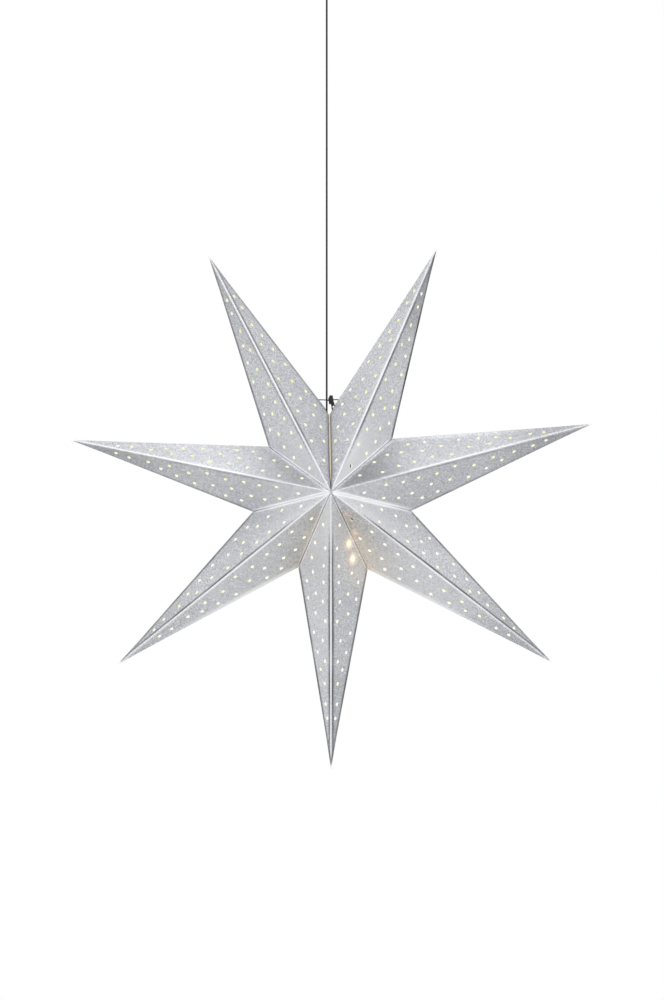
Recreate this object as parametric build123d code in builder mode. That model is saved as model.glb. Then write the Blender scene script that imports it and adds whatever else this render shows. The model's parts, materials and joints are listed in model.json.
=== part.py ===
from build123d import *
import math
import os

os.makedirs("parts", exist_ok=True)

# A star pendant light. All sizes are in millimetres.
# The origin is the middle of the ceiling bracket's upper face, Z points up and the star's front faces -Y.

# Paper star
POINTS = 7
TIP_RADIUS = 375.0
NOTCH_RADIUS = 114.0
HUB_HEIGHT = 96.0  # from the middle plane to the hub, at the front and at the back
PAPER = 0.5
FLAP_DEPTH = 4.5  # how far the glue flaps reach in from the panels
SLIT = 1.6  # open seam between the two upper points
SLIT_START = 24.0  # the seam is closed from the hub up to here
STAR_DROP = 775.0  # from the ceiling to the hub
STAR_SIDE = 6.0  # the hub hangs this far to the right of the cord
# The star is folded by hand, so its tips and notches lie a little off the regular ones.
# The lists go round from the lower point towards the right one, seen from the front.
FOLD_PLAY = 1.0  # one step of the lists of extra lengths; at 0 they all drop out
TIP_TURN = [0.0, 1.4, 2.4, 2.5, 1.4, 0.9, -0.1]  # degrees
TIP_EXTRA = [7.5, 12.5, 5.5, 3.5, 4.5, 0.5, 6.0]
NOTCH_TURN = [0.6, 1.7, 4.0, 1.2, 0.7, -0.8, 1.4]  # degrees, of the notch after each tip
NOTCH_EXTRA = [3.0, 2.0, 4.0, 1.7, -2.3, -1.0, -2.0]

# Punched holes of one panel, in rows along the ridge.
# Each place is a percentage of the way from the hub to the tip, and from the hub to the notch.
HOLE_DIAMETER = 5.0
RIDGE_ROW = [
    (5.5, 22.5),
    (15.5, 16.5),
    (20.5, 21.5),
    (26.5, 21.0),
    (33.0, 22.5),
    (42.0, 15.5),
    (46.5, 24.5),
    (56.0, 17.5),
    (64.0, 18.0),
    (72.0, 16.0),
    (78.5, 11.0),
]
MIDDLE_ROW = [
    (5.0, 48.0),
    (7.5, 58.5),
    (13.5, 55.5),
    (24.0, 45.0),
    (31.0, 45.5),
    (36.5, 51.0),
    (46.5, 40.5),
    (55.5, 30.5),
]
OUTER_ROW = [(12.0, 73.0), (19.5, 68.0)]

# Cord: flat twin flex, its thin side to the front
CORD_WIDTH = 5.2
CORD_THICKNESS = 2.6
CORE_RADIUS = 0.9
CORE_SPACING = 2.6
CORD_BEND = 26.0
CORD_FIT = 0.3  # clearance around the cord where it passes through a hole

# Tie between the two upper points
TIE_RADIUS = 0.7
TIE_HEIGHT = 133.5  # above the hub
TIE_REACH = 25.0  # to each side of the hub
TIE_STOP = 2.2  # radius of the stop knots inside the points
KNOT_RADIUS = 3.4
TURN_RISE = 16.5  # the star turns on the cord this far above the tie
TIE_GAP = 0.3

# Ceiling rose
BRACKET_RADIUS = 40.0
SHEET = 1.5  # thickness of the bracket's steel
SCREW_SPACING = 50.0
SCREW_HOLE_RADIUS = 2.25
WIRE_HOLE_RADIUS = 7.0
WIRE_HOLE_Y = 24.0
EAR_WIDTH = 12.0
TONGUE_WIDTH = 18.0
TONGUE_END = 8.0  # how far the tongue reaches below the clamp's screws
CLAMP_HEIGHT = 10.0
CLAMP_CORNER = 2.0
CUP_RADIUS = 45.0
CUP_HEIGHT = 56.0
CUP_WALL = 2.0
CUP_RIM = 16.0  # height of the straight rim
CUP_FLOOR_RADIUS = 13.0
GRIP_HEAD = 14.0  # height of the cord grip below the cup
GRIP_RADIUS = 9.0
GRIP_NECK_RADIUS = 5.0
GRIP_NUT_HEIGHT = 5.0
GRIP_NUT_RADIUS = 8.5
MOUTH_RADIUS = 6.5
PIVOT_DEPTH = 7.0  # the cord bends this far below the cup
SWING_GAP = 0.3
M3_RADIUS = 1.5
M3_HEAD_RADIUS = 2.9
M3_HEAD_HEIGHT = 2.0
SLOT_LENGTH = 4.0  # slots across the screw heads
SLOT_WIDTH = 0.8
FINE_SLOT_WIDTH = 0.7
FIT = 0.3  # gap around pieces that are held by their ends
THREAD_FIT = 0.1
BLOCK_WIDTH = 22.0
BLOCK_DEPTH = 16.0
BLOCK_HEIGHT = 14.0
BLOCK_Y = -24.0
POLE_X = 5.5
TUBE_RADIUS = 2.2
TUBE_WALL = 0.7

# Lamp holder and bulb
HOLDER_SIDE = 27.0  # the holder hangs this far to the right of the hub
HOLDER_TOP = 34.0  # top of the holder's nipple above the hub
CORD_RISE = 36.0  # the cord runs straight down to the holder from this far above it
HOLDER_RADIUS = 13.5
HOLDER_WALL = 1.5
NIPPLE_HEIGHT = 16.0
NIPPLE_RADIUS = 7.5
NIPPLE_NECK = 6.0  # length of the thread below the nipple's head
NIPPLE_NECK_RADIUS = 5.0
HOLDER_CAP_HEIGHT = 26.0
SKIRT_HEIGHT = 36.0
INSERT_HEIGHT = 15.0
SHELL_INNER_RADIUS = 7.2
SHELL_WALL = 0.4
SHELL_LENGTH = 18.0
BULB_CAP_RADIUS = 6.6
THREAD_HEIGHT = 0.3
THREAD_PITCH = 2.8
GLASS_RADIUS = 15.0
GLASS_LENGTH = 58.0
GLASS_WALL = 0.8
FILAMENTS = 4
FILAMENT_RADIUS = 0.8
FILAMENT_LENGTH = 27.0
FILAMENT_RING = 5.0

# Places worked out from the sizes above
SECTOR = 180.0 / POINTS
HUB = Vector(STAR_SIDE, 0, -STAR_DROP)
LAMP_X = STAR_SIDE + HOLDER_SIDE
CUT_Z = HUB.Z + TIE_HEIGHT + TURN_RISE
PIVOT_Z = -CUP_HEIGHT - PIVOT_DEPTH
NECK_RADIUS = CORD_THICKNESS / 2 - 0.1
FRONT = Plane(origin=HUB, x_dir=(1, 0, 0), z_dir=(0, -1, 0))


def save(part, name):
    part.label = name
    export_step(part, f"parts/{name}.step")


def around_hub(angle, radius):
    """A place in the star's middle plane."""
    turn = math.radians(angle)
    return HUB + Vector(radius * math.cos(turn), 0, radius * math.sin(turn))


def tip_angle(number):
    return -90 + number * 2 * SECTOR + TIP_TURN[number]


def tip_place(number):
    return around_hub(tip_angle(number), TIP_RADIUS + FOLD_PLAY * TIP_EXTRA[number])


def notch_angle(number):
    """Direction of the notch after a tip. Number -1 is the notch before the first tip."""
    return -90 + (number + 0.5) * 2 * SECTOR + NOTCH_TURN[number]


def notch_place(number):
    return around_hub(notch_angle(number), NOTCH_RADIUS + FOLD_PLAY * NOTCH_EXTRA[number])


def panel(number, notch, depth):
    """A panel's plane, X along its ridge and Z outwards, and its holes. Depth is -1 in front."""
    top = HUB + Vector(0, depth * HUB_HEIGHT, 0)
    along = tip_place(number) - top
    normal = along.cross(notch_place(notch) - top)
    if normal.dot(HUB - top) > 0:
        normal = -normal
    plane = Plane(origin=top, x_dir=along, z_dir=normal)
    tip = Vector(along.length, 0)
    corner = plane.to_local_coords(notch_place(notch))
    shares = RIDGE_ROW + MIDDLE_ROW + OUTER_ROW
    return plane, [tip * (to_tip / 100) + corner * (to_notch / 100) for to_tip, to_notch in shares]


def seam_cut():
    """What the open seam, the cord and the tie take away from the sheets beside the seam."""
    with BuildPart() as cut:
        with BuildSketch(FRONT.rotated((0, 0, notch_angle(SEAM) - 90))):
            with Locations((0, SLIT_START)):
                Rectangle(SLIT, NOTCH_RADIUS, align=(Align.CENTER, Align.MIN))
        extrude(amount=HUB_HEIGHT, both=True)
        add(cord_hole(0, HUB.Z + NOTCH_RADIUS / 2, CUT_Z, CORD_FIT))
        with BuildSketch(upright_plane(HUB.X - TIE_REACH, HUB.Z + TIE_HEIGHT)):
            with Locations((TIE_Y, 0)):
                Circle(TIE_RADIUS + TIE_GAP)
        extrude(amount=2 * TIE_REACH)
    return cut.part


def facet(plane, depth, upper, lower, corners):
    """A flat part of a folded sheet, between two depths under a panel's plane and within the corners."""
    with BuildPart() as flat:
        with BuildSketch(FRONT):
            Polygon(*[(c.X, c.Y) for c in corners], align=None)
        extrude(amount=-depth * HUB_HEIGHT)
        split(bisect_by=plane.offset(-upper), keep=Keep.BOTTOM)
        split(bisect_by=plane.offset(-lower), keep=Keep.TOP)
    return flat.part


def main_solid(part):
    """The largest solid of a sheet, without the corner that the cord's way cuts off beside the seam."""
    return part.solids().sort_by(SortBy.VOLUME)[-1]


def turned(x, profile):
    """A piece turned about the upright line at x, from its profile in radius and height."""
    with BuildPart() as piece:
        with BuildSketch(Plane.XZ.move(Location((x, 0, 0)))):
            Polygon(*profile, align=None)
        revolve(axis=Axis((x, 0, 0), (0, 0, 1)))
    return piece.part


def upright_plane(x, z):
    """Plane across the X direction at x, for holes and screws that lie along X."""
    return Plane(origin=(x, 0, z), x_dir=(0, 1, 0), z_dir=(1, 0, 0))


def cord_hole(x, low, high, fit):
    """The cord's own section, made wider by the fit, from low to high."""
    with BuildPart() as hole:
        with BuildSketch(Plane.XY.move(Location((x, 0, low)))):
            SlotOverall(CORD_WIDTH + 2 * fit, CORD_THICKNESS + 2 * fit, rotation=90)
        extrude(amount=high - low)
    return hole.part


# Star points. Each is one folded sheet, kept as its flat panels and flaps, which meet at the creases.
# The flaps are glued to those of the next point along the valley. One seam, at the top, is open.
SEAM = POINTS // 2
TIE_Y = CORD_WIDTH / 2 + TIE_GAP + TIE_RADIUS
seam_way = seam_cut()
reach = TIP_RADIUS * 1.3
for number in range(POINTS):
    flats = []
    for notch in (number - 1, number):
        for depth in (-1, 1):
            plane, holes = panel(number, notch, depth)
            to_tip = Vector(1, 0).rotate(Axis.Z, tip_angle(number))
            to_notch = Vector(1, 0).rotate(Axis.Z, notch_angle(notch))
            between = math.radians(abs(tip_angle(number) - notch_angle(notch)))
            inner_corner = to_tip * (PAPER / math.sin(between))
            with BuildPart() as sheet_panel:
                add(facet(plane, depth, 0, PAPER, [Vector(0, 0), to_tip * reach, to_notch * reach]))
                with BuildSketch(plane):
                    with Locations(*[(hole.X, hole.Y) for hole in holes]):
                        Circle(HOLE_DIAMETER / 2)
                extrude(amount=2 * PAPER, both=True, mode=Mode.SUBTRACT)
                if notch == SEAM:
                    add(seam_way, mode=Mode.SUBTRACT)
            flap_corners = [Vector(0, 0), to_notch * reach, to_notch * reach + inner_corner, inner_corner]
            with BuildPart() as flap:
                add(facet(plane, depth, PAPER, FLAP_DEPTH, flap_corners))
                if notch == SEAM:
                    add(seam_way, mode=Mode.SUBTRACT)
            flats += [main_solid(sheet_panel.part), main_solid(flap.part)]
    save(Compound(children=flats), f"star_point_{number + 1}")

# Tie: a string behind the cord with stop knots inside the points, wraps, a loop and two tails
tie_z = HUB.Z + TIE_HEIGHT
with BuildPart() as tie:
    with BuildSketch(upright_plane(HUB.X - TIE_REACH, tie_z)):
        with Locations((TIE_Y, 0)):
            Circle(TIE_RADIUS)
    extrude(amount=2 * TIE_REACH)
    with Locations((HUB.X - TIE_REACH, TIE_Y, tie_z), (HUB.X + TIE_REACH, TIE_Y, tie_z)):
        Sphere(TIE_STOP)
    knot_core = KNOT_RADIUS - TIE_RADIUS
    turn_pitch = 1.8 * TIE_RADIUS
    with BuildSketch(Plane(origin=(HUB.X, TIE_Y, tie_z), x_dir=(1, 0, 0), z_dir=(0, -1, 0))):
        Rectangle(2.6 * turn_pitch, knot_core, align=(Align.CENTER, Align.MIN))
        with Locations((-turn_pitch, knot_core), (0, knot_core), (turn_pitch, knot_core)):
            Circle(TIE_RADIUS)
    revolve(axis=Axis((HUB.X, TIE_Y, tie_z), (1, 0, 0)))
    with BuildLine() as loop:
        FilletPolyline(
            (HUB.X - 1.3, TIE_Y, tie_z),
            (HUB.X - 2.2, TIE_Y, tie_z + 8.5),
            (HUB.X + 2.2, TIE_Y, tie_z + 8.5),
            (HUB.X + 1.3, TIE_Y, tie_z),
            radius=1.6,
        )
    with BuildSketch(Plane(origin=loop.line @ 0, z_dir=loop.line % 0)):
        Circle(TIE_RADIUS)
    sweep(path=loop.line)
    for reach, fall, out in ((4.2, -8.0, 6.0), (1.4, -13.0, 6.5)):
        with BuildLine() as tail:
            FilletPolyline(
                (HUB.X + 0.3, TIE_Y, tie_z),
                (HUB.X + reach, TIE_Y - out, tie_z - 1.0),
                (HUB.X + reach, TIE_Y - out, tie_z + fall),
                radius=1.5,
            )
        with BuildSketch(Plane(origin=tail.line @ 0, z_dir=tail.line % 0)):
            Circle(TIE_RADIUS)
        sweep(path=tail.line)
save(tie.part, "tie")

# Cord: its end in the ceiling rose, the short bend, the hanging length and the length inside the star
jacket_end = -16.0
stub_end = PIVOT_Z + NECK_RADIUS + SWING_GAP
hang_start = PIVOT_Z - NECK_RADIUS - SWING_GAP
with BuildPart() as cord_stub:
    add(cord_hole(0, stub_end, jacket_end, 0))
save(cord_stub.part, "cord_stub")
with BuildPart() as cord_bend:
    with Locations((0, 0, PIVOT_Z)):
        Sphere(NECK_RADIUS)
save(cord_bend.part, "cord_bend")
with BuildPart() as cord:
    add(cord_hole(0, CUT_Z, hang_start, 0))
save(cord.part, "cord")

nipple_z = HUB.Z + HOLDER_TOP - NIPPLE_HEIGHT
skirt_top = nipple_z - HOLDER_CAP_HEIGHT
lamp_jacket_end = nipple_z - NIPPLE_NECK - 1.0
with BuildPart() as cord_tail:
    with BuildLine() as tail_path:
        FilletPolyline(
            (0, 0, CUT_Z),
            (0, 0, HUB.Z + NOTCH_RADIUS - 10),
            (LAMP_X, 0, HUB.Z + HOLDER_TOP + CORD_RISE),
            (LAMP_X, 0, lamp_jacket_end),
            radius=CORD_BEND,
        )
    with BuildSketch(Plane.XY.offset(CUT_Z)):
        SlotOverall(CORD_WIDTH, CORD_THICKNESS, rotation=90)
    sweep(path=tail_path.line)
save(cord_tail.part, "cord_tail")
tail_length = sum(edge.length for edge in tail_path.line.edges())
print("cord inside the star", tail_length, "mean section", cord_tail.part.volume / tail_length)

# Ceiling bracket: a steel disc with screw holes, a wire hole, two ears for the cup and a tongue for the cord
tongue_x = CORD_THICKNESS / 2
ear_x = CUP_RADIUS - CUP_WALL - 3.5
ear_z = -8.0
clamp_z = -25.0
clamp_y = 6.0
with BuildPart() as bracket:
    with BuildSketch(Plane.XY):
        Circle(BRACKET_RADIUS)
        with Locations((SCREW_SPACING / 2, 0), (-SCREW_SPACING / 2, 0)):
            Circle(SCREW_HOLE_RADIUS, mode=Mode.SUBTRACT)
        with Locations((0, WIRE_HOLE_Y)):
            Circle(WIRE_HOLE_RADIUS, mode=Mode.SUBTRACT)
        with Locations((0, BLOCK_Y)):
            Circle(M3_RADIUS + THREAD_FIT, mode=Mode.SUBTRACT)
    extrude(amount=-SHEET)
    with BuildSketch(Plane.XY):
        with Locations((ear_x - SHEET / 2, 0), (SHEET / 2 - ear_x, 0)):
            Rectangle(SHEET, EAR_WIDTH)
    extrude(amount=2 * ear_z)
    with BuildSketch(Plane.XY):
        with Locations((tongue_x + SHEET / 2, 0)):
            Rectangle(SHEET, TONGUE_WIDTH)
    extrude(amount=clamp_z - TONGUE_END)
    with BuildSketch(upright_plane(-CUP_RADIUS, ear_z)):
        Circle(M3_RADIUS + THREAD_FIT)
    extrude(amount=CUP_RADIUS - BRACKET_RADIUS + 8, mode=Mode.SUBTRACT)
    with BuildSketch(upright_plane(CUP_RADIUS, ear_z)):
        Circle(M3_RADIUS + THREAD_FIT)
    extrude(amount=BRACKET_RADIUS - CUP_RADIUS - 8, mode=Mode.SUBTRACT)
    with BuildSketch(upright_plane(0, clamp_z)):
        with Locations((clamp_y, 0), (-clamp_y, 0)):
            Circle(M3_RADIUS + THREAD_FIT)
    extrude(amount=8, mode=Mode.SUBTRACT)
save(bracket.part, "ceiling_bracket")

# Cup that covers the bracket
with BuildPart() as cup:
    with BuildSketch(Plane.XZ):
        Polygon(
            (CUP_RADIUS, 0),
            (CUP_RADIUS, -CUP_RIM),
            (CUP_FLOOR_RADIUS, -CUP_HEIGHT),
            (GRIP_NECK_RADIUS + FIT, -CUP_HEIGHT),
            (GRIP_NECK_RADIUS + FIT, CUP_WALL - CUP_HEIGHT),
            (CUP_FLOOR_RADIUS - 1, CUP_WALL - CUP_HEIGHT),
            (CUP_RADIUS - CUP_WALL, 0.7 - CUP_RIM),
            (CUP_RADIUS - CUP_WALL, 0),
            align=None,
        )
    revolve(axis=Axis.Z)
    with BuildSketch(upright_plane(-CUP_RADIUS - 1, ear_z)):
        Circle(M3_RADIUS + THREAD_FIT)
    extrude(amount=2 * CUP_RADIUS + 2, mode=Mode.SUBTRACT)
save(cup.part, "ceiling_cup")

with BuildPart() as cup_screws:
    for side in (1, -1):
        with BuildSketch(upright_plane(side * CUP_RADIUS, ear_z)):
            Circle(M3_HEAD_RADIUS)
            Rectangle(SLOT_LENGTH, SLOT_WIDTH, mode=Mode.SUBTRACT)
        extrude(amount=side * M3_HEAD_HEIGHT)
        with BuildSketch(upright_plane(side * (CUP_RADIUS + M3_HEAD_HEIGHT / 2), ear_z)):
            Circle(M3_RADIUS)
        extrude(amount=-side * (CUP_RADIUS - ear_x + SHEET + 2))
save(cup_screws.part, "cup_screws")

# Cord grip below the cup, its nut and its screw
grip_screw_z = -CUP_HEIGHT - 3.2
grip_neck = CUP_WALL + GRIP_NUT_HEIGHT + 2
with BuildPart() as cord_grip:
    with BuildSketch(Plane.XZ):
        Polygon(
            (0, -CUP_HEIGHT - GRIP_HEAD),
            (GRIP_RADIUS - 1.5, -CUP_HEIGHT - GRIP_HEAD),
            (GRIP_RADIUS, -CUP_HEIGHT - GRIP_HEAD + 2),
            (GRIP_RADIUS, -CUP_HEIGHT),
            (GRIP_NECK_RADIUS, -CUP_HEIGHT),
            (GRIP_NECK_RADIUS, grip_neck - CUP_HEIGHT),
            (0, grip_neck - CUP_HEIGHT),
            align=None,
        )
    revolve(axis=Axis.Z)
    add(cord_hole(0, -CUP_HEIGHT - GRIP_HEAD, grip_neck - CUP_HEIGHT, CORD_FIT), mode=Mode.SUBTRACT)
    with BuildSketch(Plane.XZ):
        Polygon(
            (0, -CUP_HEIGHT - GRIP_HEAD),
            (MOUTH_RADIUS, -CUP_HEIGHT - GRIP_HEAD),
            (CORD_WIDTH / 2 + CORD_FIT + 0.6, stub_end),
            (0, stub_end),
            align=None,
        )
    revolve(axis=Axis.Z, mode=Mode.SUBTRACT)
    with BuildSketch(upright_plane(0, grip_screw_z)):
        Circle(M3_RADIUS + THREAD_FIT)
    extrude(amount=GRIP_RADIUS + 1, mode=Mode.SUBTRACT)
save(cord_grip.part, "cord_grip")
with BuildPart() as grip_nut:
    with BuildSketch(Plane.XY.offset(CUP_WALL - CUP_HEIGHT)):
        RegularPolygon(GRIP_NUT_RADIUS, 6)
        Circle(GRIP_NECK_RADIUS + THREAD_FIT, mode=Mode.SUBTRACT)
    extrude(amount=GRIP_NUT_HEIGHT)
save(grip_nut.part, "grip_nut")
with BuildPart() as grip_screw:
    with BuildSketch(upright_plane(CORD_THICKNESS / 2, grip_screw_z)):
        Circle(M3_RADIUS)
    extrude(amount=GRIP_RADIUS + 0.6 - CORD_THICKNESS / 2)
    with BuildSketch(upright_plane(GRIP_RADIUS + 0.6, grip_screw_z)):
        Rectangle(2 * M3_RADIUS, FINE_SLOT_WIDTH)
    extrude(amount=-0.9, mode=Mode.SUBTRACT)
save(grip_screw.part, "grip_screw")

# Cord clamp on the bracket's tongue
clamp_thickness = 3.0
clamp_face = -CORD_THICKNESS / 2
with BuildPart() as cord_clamp:
    with BuildSketch(upright_plane(clamp_face, clamp_z)):
        RectangleRounded(TONGUE_WIDTH, CLAMP_HEIGHT, CLAMP_CORNER)
        with Locations((clamp_y, 0), (-clamp_y, 0)):
            Circle(M3_RADIUS + THREAD_FIT, mode=Mode.SUBTRACT)
    extrude(amount=-clamp_thickness)
save(cord_clamp.part, "cord_clamp")
with BuildPart() as clamp_screws:
    for y in (clamp_y, -clamp_y):
        with BuildSketch(upright_plane(clamp_face - clamp_thickness, clamp_z)):
            with Locations((y, 0)):
                Circle(M3_HEAD_RADIUS - 0.3)
                Rectangle(SLOT_LENGTH, SLOT_WIDTH, mode=Mode.SUBTRACT)
        extrude(amount=-M3_HEAD_HEIGHT)
        with BuildSketch(upright_plane(clamp_face - clamp_thickness - 1, clamp_z)):
            with Locations((y, 0)):
                Circle(M3_RADIUS)
        extrude(amount=clamp_thickness + CORD_THICKNESS + SHEET + 3)
save(clamp_screws.part, "clamp_screws")

# Terminal block under the bracket, with two poles along Y
pole_z = -SHEET - BLOCK_HEIGHT / 2
wire_screw_y = 4.5
with BuildPart() as terminal_block:
    with BuildSketch(Plane.XY.offset(-SHEET)):
        with Locations((0, BLOCK_Y)):
            RectangleRounded(BLOCK_WIDTH, BLOCK_DEPTH, 1.5)
    extrude(amount=-BLOCK_HEIGHT)
    with BuildSketch(Plane.XZ.offset(-BLOCK_Y - BLOCK_DEPTH / 2)):
        with Locations((POLE_X, pole_z), (-POLE_X, pole_z)):
            Circle(TUBE_RADIUS + THREAD_FIT)
    extrude(amount=BLOCK_DEPTH * 2, both=True, mode=Mode.SUBTRACT)
    with BuildSketch(Plane.XY.offset(-SHEET - BLOCK_HEIGHT)):
        for x in (POLE_X, -POLE_X):
            with Locations((x, BLOCK_Y + wire_screw_y), (x, BLOCK_Y - wire_screw_y)):
                Circle(M3_RADIUS + 0.4)
        with Locations((0, BLOCK_Y)):
            Circle(M3_RADIUS + THREAD_FIT)
    extrude(amount=BLOCK_HEIGHT / 2, mode=Mode.SUBTRACT)
    with BuildSketch(Plane.XY.offset(-SHEET)):
        with Locations((0, BLOCK_Y)):
            Circle(M3_RADIUS + THREAD_FIT)
    extrude(amount=-BLOCK_HEIGHT, mode=Mode.SUBTRACT)
save(terminal_block.part, "terminal_block")
with BuildPart() as terminal_tubes:
    with BuildSketch(Plane.XZ.offset(-BLOCK_Y - BLOCK_DEPTH / 2 + 1)):
        with Locations((POLE_X, pole_z), (-POLE_X, pole_z)):
            Circle(TUBE_RADIUS)
            Circle(TUBE_RADIUS - TUBE_WALL, mode=Mode.SUBTRACT)
    extrude(amount=BLOCK_DEPTH - 2)
    with BuildSketch(Plane.XY.offset(pole_z)):
        for x in (POLE_X, -POLE_X):
            with Locations((x, BLOCK_Y + wire_screw_y), (x, BLOCK_Y - wire_screw_y)):
                Circle(M3_RADIUS + THREAD_FIT)
    extrude(amount=-TUBE_RADIUS - 1, mode=Mode.SUBTRACT)
save(terminal_tubes.part, "terminal_tubes")
with BuildPart() as terminal_screws:
    with BuildSketch(Plane.XY.offset(pole_z - CORE_RADIUS - 0.1)):
        for x in (POLE_X, -POLE_X):
            with Locations((x, BLOCK_Y + wire_screw_y), (x, BLOCK_Y - wire_screw_y)):
                Circle(M3_RADIUS)
    extrude(amount=-BLOCK_HEIGHT / 2 + CORE_RADIUS + 1)
save(terminal_screws.part, "terminal_screws")
with BuildPart() as block_screw:
    with BuildSketch(Plane.XY.offset(-SHEET - BLOCK_HEIGHT)):
        with Locations((0, BLOCK_Y)):
            Circle(M3_HEAD_RADIUS)
            Rectangle(SLOT_LENGTH, SLOT_WIDTH, mode=Mode.SUBTRACT)
    extrude(amount=-M3_HEAD_HEIGHT)
    with BuildSketch(Plane.XY.offset(-SHEET - BLOCK_HEIGHT - M3_HEAD_HEIGHT / 2)):
        with Locations((0, BLOCK_Y)):
            Circle(M3_RADIUS)
    extrude(amount=M3_HEAD_HEIGHT / 2 + BLOCK_HEIGHT + SHEET)
save(block_screw.part, "block_screw")


def round_tube(points, radius, bend):
    """A round tube along straight runs joined by arcs."""
    with BuildPart() as tube:
        with BuildLine() as path:
            FilletPolyline(*points, radius=bend)
        with BuildSketch(Plane(origin=path.line @ 0, z_dir=path.line % 0)):
            Circle(radius)
        sweep(path=path.line)
    return tube.part


# The cord's two cores in the ceiling rose, from the end of the jacket to the terminal block
core_y = CORE_SPACING / 2
core_end = BLOCK_Y + 2.0
front_core = round_tube(
    [
        (0, -core_y, jacket_end),
        (0, -core_y, pole_z),
        (0, -9.0, pole_z),
        (-POLE_X, -13.5, pole_z),
        (-POLE_X, core_end, pole_z),
    ],
    CORE_RADIUS,
    3.0,
)
back_core = round_tube(
    [
        (0, core_y, jacket_end),
        (0, core_y, pole_z + 3.5),
        (0, -11.5, pole_z + 3.5),
        (POLE_X, -14.0, pole_z),
        (POLE_X, core_end, pole_z),
    ],
    CORE_RADIUS,
    3.0,
)
with BuildPart() as ceiling_cores:
    add(front_core)
    add(back_core)
save(ceiling_cores.part, "ceiling_cores")

# Lamp holder
insert_top = skirt_top - 1.0
insert_bottom = insert_top - INSERT_HEIGHT
skirt_bottom = skirt_top - SKIRT_HEIGHT
seat_radius = HOLDER_RADIUS - HOLDER_WALL
terminal_x = 6.0
terminal_y = 4.5
with BuildPart() as holder_cap:
    add(
        turned(
            LAMP_X,
            [
                (HOLDER_RADIUS, skirt_top),
                (HOLDER_RADIUS, skirt_top + 10),
                (NIPPLE_RADIUS + 1, nipple_z),
                (NIPPLE_NECK_RADIUS + FIT, nipple_z),
                (NIPPLE_NECK_RADIUS + FIT, nipple_z - 2),
                (NIPPLE_RADIUS - 0.5, nipple_z - 2),
                (seat_radius - FIT, skirt_top + 9.2),
                (seat_radius - FIT, skirt_top),
            ],
        )
    )
save(holder_cap.part, "holder_cap")
with BuildPart() as holder_skirt:
    add(
        turned(
            LAMP_X,
            [
                (HOLDER_RADIUS, skirt_top),
                (HOLDER_RADIUS, skirt_bottom),
                (seat_radius - 1.5, skirt_bottom),
                (seat_radius - 1.5, insert_bottom),
                (seat_radius, insert_bottom),
                (seat_radius, skirt_top),
            ],
        )
    )
save(holder_skirt.part, "holder_skirt")
with BuildPart() as holder_insert:
    with BuildSketch(Plane.XY.offset(insert_bottom)):
        with Locations((LAMP_X, 0)):
            Circle(seat_radius - FIT)
    extrude(amount=INSERT_HEIGHT)
    with BuildSketch(Plane.XY.offset(insert_top)):
        with Locations((LAMP_X - terminal_x, 0), (LAMP_X + terminal_x, 0)):
            Circle(CORE_RADIUS + 0.2)
        with Locations((LAMP_X - terminal_x, terminal_y), (LAMP_X + terminal_x, terminal_y)):
            Circle(M3_RADIUS + THREAD_FIT)
    extrude(amount=-6.5, mode=Mode.SUBTRACT)
save(holder_insert.part, "holder_insert")
with BuildPart() as holder_terminal_screws:
    for x in (LAMP_X - terminal_x, LAMP_X + terminal_x):
        with BuildSketch(Plane.XY.offset(insert_top)):
            with Locations((x, terminal_y)):
                Circle(M3_HEAD_RADIUS - 0.5)
                Rectangle(SLOT_LENGTH, FINE_SLOT_WIDTH, mode=Mode.SUBTRACT)
        extrude(amount=M3_HEAD_HEIGHT)
        with BuildSketch(Plane.XY.offset(insert_top + M3_HEAD_HEIGHT / 2)):
            with Locations((x, terminal_y)):
                Circle(M3_RADIUS)
        extrude(amount=-M3_HEAD_HEIGHT / 2 - 6)
save(holder_terminal_screws.part, "holder_terminal_screws")
shell_bottom = insert_bottom - SHELL_LENGTH
with BuildPart() as screw_shell:
    add(
        turned(
            LAMP_X,
            [
                (SHELL_INNER_RADIUS, insert_bottom),
                (SHELL_INNER_RADIUS + SHELL_WALL, insert_bottom),
                (SHELL_INNER_RADIUS + SHELL_WALL, shell_bottom + SHELL_WALL),
                (SHELL_INNER_RADIUS + 1.2, shell_bottom + SHELL_WALL),
                (SHELL_INNER_RADIUS + 1.2, shell_bottom),
                (SHELL_INNER_RADIUS, shell_bottom),
            ],
        )
    )
save(screw_shell.part, "screw_shell")
strip = 0.4
dip = 1.8
with BuildPart() as centre_contact:
    with BuildSketch(Plane(origin=(LAMP_X, 0, insert_bottom), x_dir=(1, 0, 0), z_dir=(0, -1, 0))):
        Polygon(
            (-6, 0),
            (-3.5, 0),
            (1, -dip),
            (2.2, -dip),
            (2.2, -dip - strip),
            (0.9, -dip - strip),
            (-3.6, -strip),
            (-6, -strip),
            align=None,
        )
    extrude(amount=2, both=True)
save(centre_contact.part, "centre_contact")
grip_z = HUB.Z + HOLDER_TOP - 7
with BuildPart() as holder_nipple:
    add(
        turned(
            LAMP_X,
            [
                (0, nipple_z - NIPPLE_NECK),
                (NIPPLE_NECK_RADIUS, nipple_z - NIPPLE_NECK),
                (NIPPLE_NECK_RADIUS, nipple_z),
                (NIPPLE_RADIUS, nipple_z),
                (NIPPLE_RADIUS, HUB.Z + HOLDER_TOP - 2),
                (NIPPLE_RADIUS - 2, HUB.Z + HOLDER_TOP),
                (0, HUB.Z + HOLDER_TOP),
            ],
        )
    )
    add(cord_hole(LAMP_X, nipple_z - NIPPLE_NECK, HUB.Z + HOLDER_TOP, CORD_FIT), mode=Mode.SUBTRACT)
    with BuildSketch(upright_plane(LAMP_X, grip_z)):
        Circle(M3_RADIUS + THREAD_FIT)
    extrude(amount=NIPPLE_RADIUS + 1, mode=Mode.SUBTRACT)
save(holder_nipple.part, "holder_nipple")
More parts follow.
